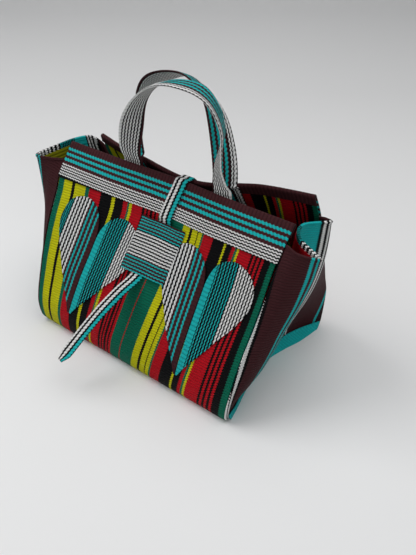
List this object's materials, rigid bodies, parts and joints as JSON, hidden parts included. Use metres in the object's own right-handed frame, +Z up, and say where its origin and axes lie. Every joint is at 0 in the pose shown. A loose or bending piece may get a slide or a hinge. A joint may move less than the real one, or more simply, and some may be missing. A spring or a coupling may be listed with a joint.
{
  "type": "handwoven tote bag",
  "caption": "Open handwoven tote bag with a flat base, leaning front and back, folded side wings, striped mouth bands, flat webbing handles, heart appliques and a closing strap under a patch",
  "frame": {"origin": "centre of the base's underside, on the surface that the bag stands on", "axes": "+X to the bag's right seen from the front, +Y from front to back, +Z up"},
  "size_m": [0.4374, 0.3126, 0.3628],
  "materials": {
    "front_cloth": "woven plastic strip, stripes of green, yellow, red and black, semi-gloss",
    "back_cloth": "the same striped weave as the front, semi-gloss",
    "side_cloth": "woven plastic strip, dark brown with turquoise, white and black stripes, semi-gloss",
    "base_cloth": "woven plastic strip, plain turquoise, semi-gloss",
    "band_cloth": "woven plastic strip, brown with turquoise, white and black stripes, semi-gloss",
    "olive_facing_cloth": "woven plastic strip, yellow-olive, semi-gloss",
    "red_facing_cloth": "woven plastic strip, red with a yellow edge, semi-gloss",
    "handle_webbing": "flat striped webbing, white and black with brown and turquoise edges",
    "strap_webbing": "flat striped strap, white and black with a turquoise line",
    "keeper_cloth": "woven patch, fine turquoise, brown, white and black stripes",
    "heart_brown_cloth": "woven applique, brown with turquoise stripes",
    "heart_turquoise_cloth": "woven applique, turquoise with white and black stripes"
  },
  "bodies": {
    "root": {"front_panel": "front_cloth", "back_panel": "back_cloth", "right_gusset": "side_cloth", "left_gusset": "side_cloth", "base_panel": "base_cloth", "front_band": "band_cloth", "back_band": "band_cloth", "right_wing_facing": "red_facing_cloth", "left_wing_facing": "olive_facing_cloth", "front_handle": "handle_webbing", "back_handle": "handle_webbing", "keeper_patch": "keeper_cloth", "closing_strap": "strap_webbing", "left_heart_outer": "heart_brown_cloth", "left_heart_inner": "heart_turquoise_cloth", "right_heart_inner": "heart_brown_cloth", "right_heart_outer": "heart_turquoise_cloth"}
  },
  "joints": []
}
